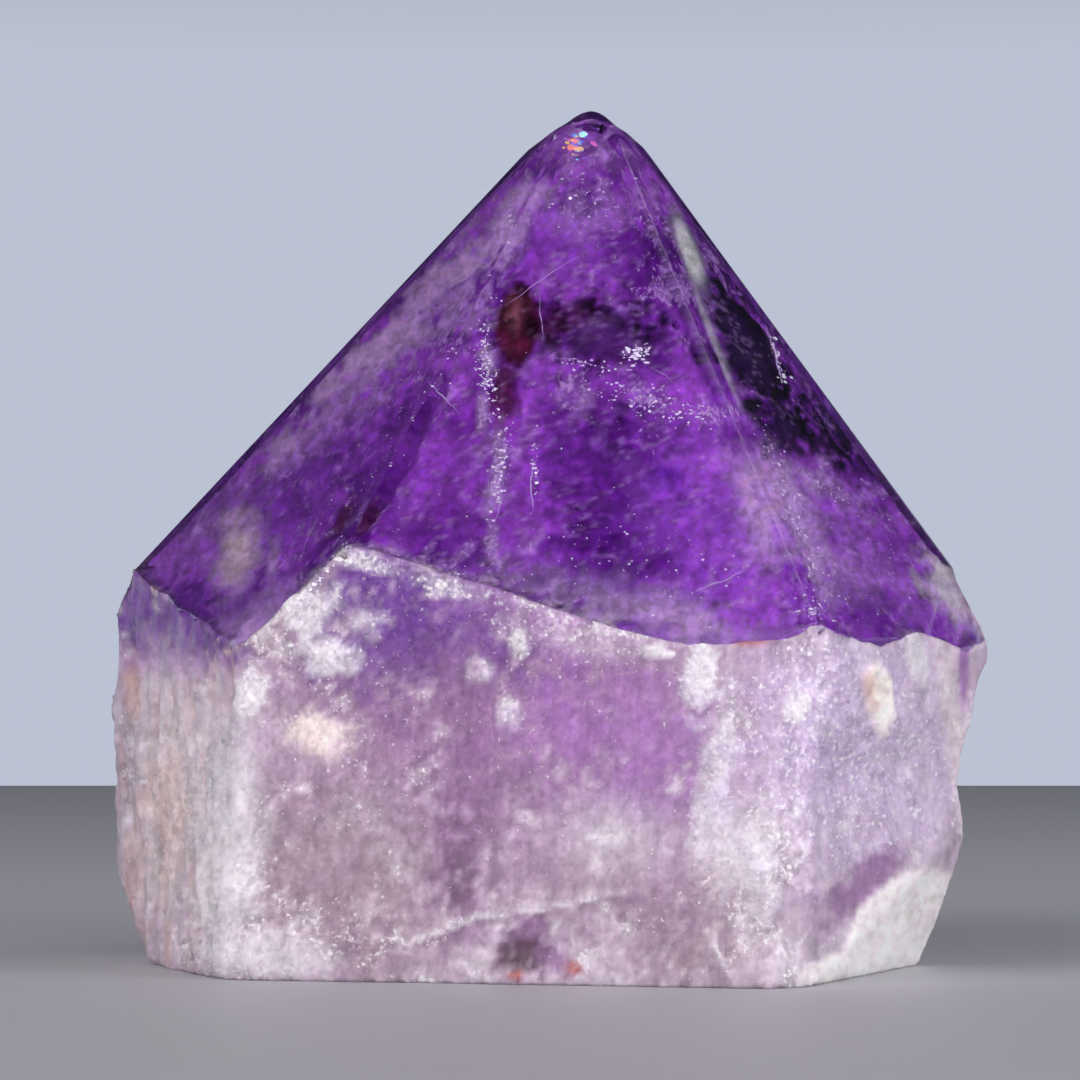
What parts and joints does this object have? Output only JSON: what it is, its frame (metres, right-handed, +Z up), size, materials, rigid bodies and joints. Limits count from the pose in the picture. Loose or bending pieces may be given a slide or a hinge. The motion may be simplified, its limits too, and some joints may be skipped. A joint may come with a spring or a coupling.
{
  "type": "amethyst point",
  "caption": "Polished amethyst crystal point: a faceted purple tip over rough, milky natural sides, standing on a flat cut base.",
  "frame": {"origin": "middle of the crystal's box, on the surface that the cut base rests on", "axes": "+Z up towards the tip, -Y out of the broad front facet, +X to the right seen from the front"},
  "size_m": [0.0636, 0.0516, 0.0618],
  "materials": {
    "amethyst": "polished facets above frosted natural sides"
  },
  "bodies": {
    "root": {"amethyst_point": "amethyst"}
  },
  "joints": []
}
